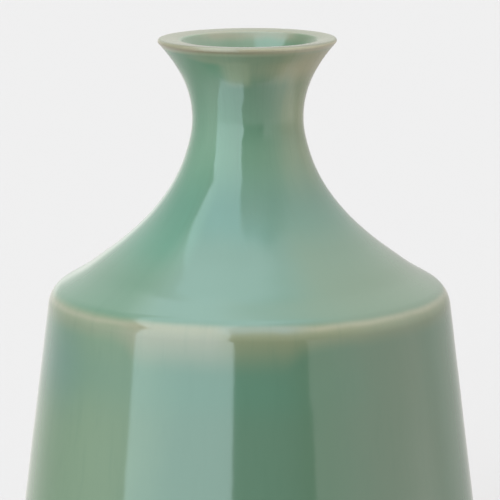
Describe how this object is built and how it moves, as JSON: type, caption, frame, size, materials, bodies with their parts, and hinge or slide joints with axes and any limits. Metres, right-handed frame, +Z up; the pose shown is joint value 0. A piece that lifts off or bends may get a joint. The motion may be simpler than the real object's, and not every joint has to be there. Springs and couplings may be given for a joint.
{
  "type": "sake bottle",
  "caption": "Glazed ceramic sake bottle with a wide tapered body, angled shoulder, narrow waisted neck and flared flat lip, standing on a bare foot ring.",
  "frame": {"origin": "centre of the foot ring, on the plane that the bottle stands on", "axes": "+Z up along the bottle's axis of revolution; X and Y are equivalent"},
  "size_m": [0.0942, 0.0942, 0.126],
  "materials": {
    "celadon_glaze": "glossy",
    "liner_glaze": "glossy",
    "bare_clay": "matte"
  },
  "bodies": {
    "root": {"foot_ring": "bare_clay", "base_disc": "bare_clay", "body_wall": "bare_clay", "shoulder": "bare_clay", "neck": "bare_clay", "inner_glaze": "liner_glaze", "outer_glaze": "celadon_glaze", "foot_well_glaze": "liner_glaze"}
  },
  "joints": []
}
